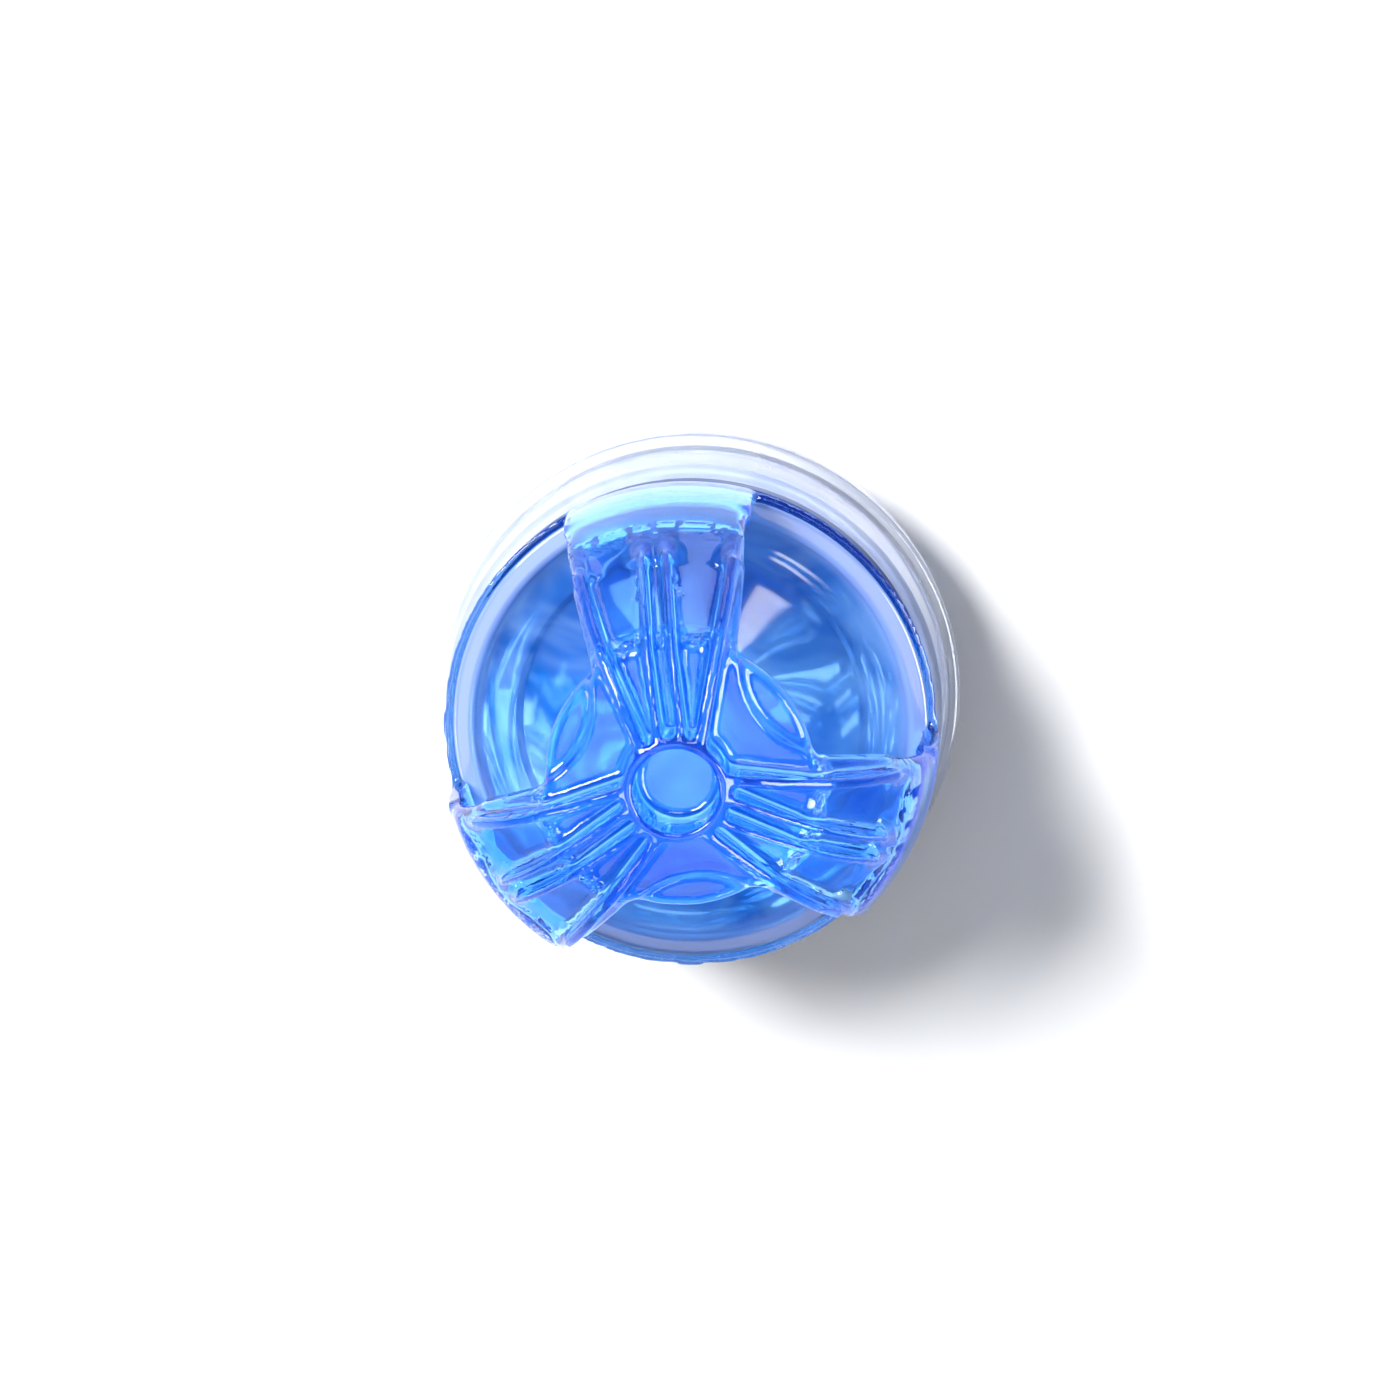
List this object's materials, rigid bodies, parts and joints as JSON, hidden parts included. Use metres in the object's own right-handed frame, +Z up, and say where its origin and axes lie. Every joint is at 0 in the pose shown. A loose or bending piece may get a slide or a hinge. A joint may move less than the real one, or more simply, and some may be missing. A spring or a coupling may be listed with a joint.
{
  "type": "stress ball",
  "caption": "Squeeze ball of see-through blue gel with a three-armed open front, a short hub tube and clear rings round its middle.",
  "frame": {"origin": "middle of the flat foot the ball stands on", "axes": "+Z up along the ball's axis of turning, out of its open front; +Y towards the middle of the first arm, less 7.3 degrees"},
  "size_m": [0.07, 0.07, 0.0704],
  "materials": {
    "blue_gel": "see-through blue gel, glossy and slightly tacky",
    "deep_gel": "deep blue gel filling",
    "pale_gel": "pale blue see-through gel, glossy",
    "pale_ring": "clear elastomer with a faint blue tint, glossy",
    "clear_ring": "colourless clear elastomer, glossy"
  },
  "bodies": {
    "shell": {"rear_cup": "blue_gel", "gel_core": "deep_gel", "rear_ring": "clear_ring", "front_ring": "pale_ring", "bowl": "pale_gel", "cage_rim": "blue_gel", "arm_top": "blue_gel", "arm_left": "blue_gel", "arm_right": "blue_gel"},
    "hub": {"hub_disc": "blue_gel", "hub_web": "blue_gel", "hub_tube": "blue_gel"}
  },
  "joints": [
    {"name": "hub_press", "type": "slide", "parent": "shell", "child": "hub", "axis": [0, 0, -1], "range_m": [0, 0.006], "stiffness_N_per_m": 600, "deforming": ["arm_top", "arm_left", "arm_right"]}
  ]
}
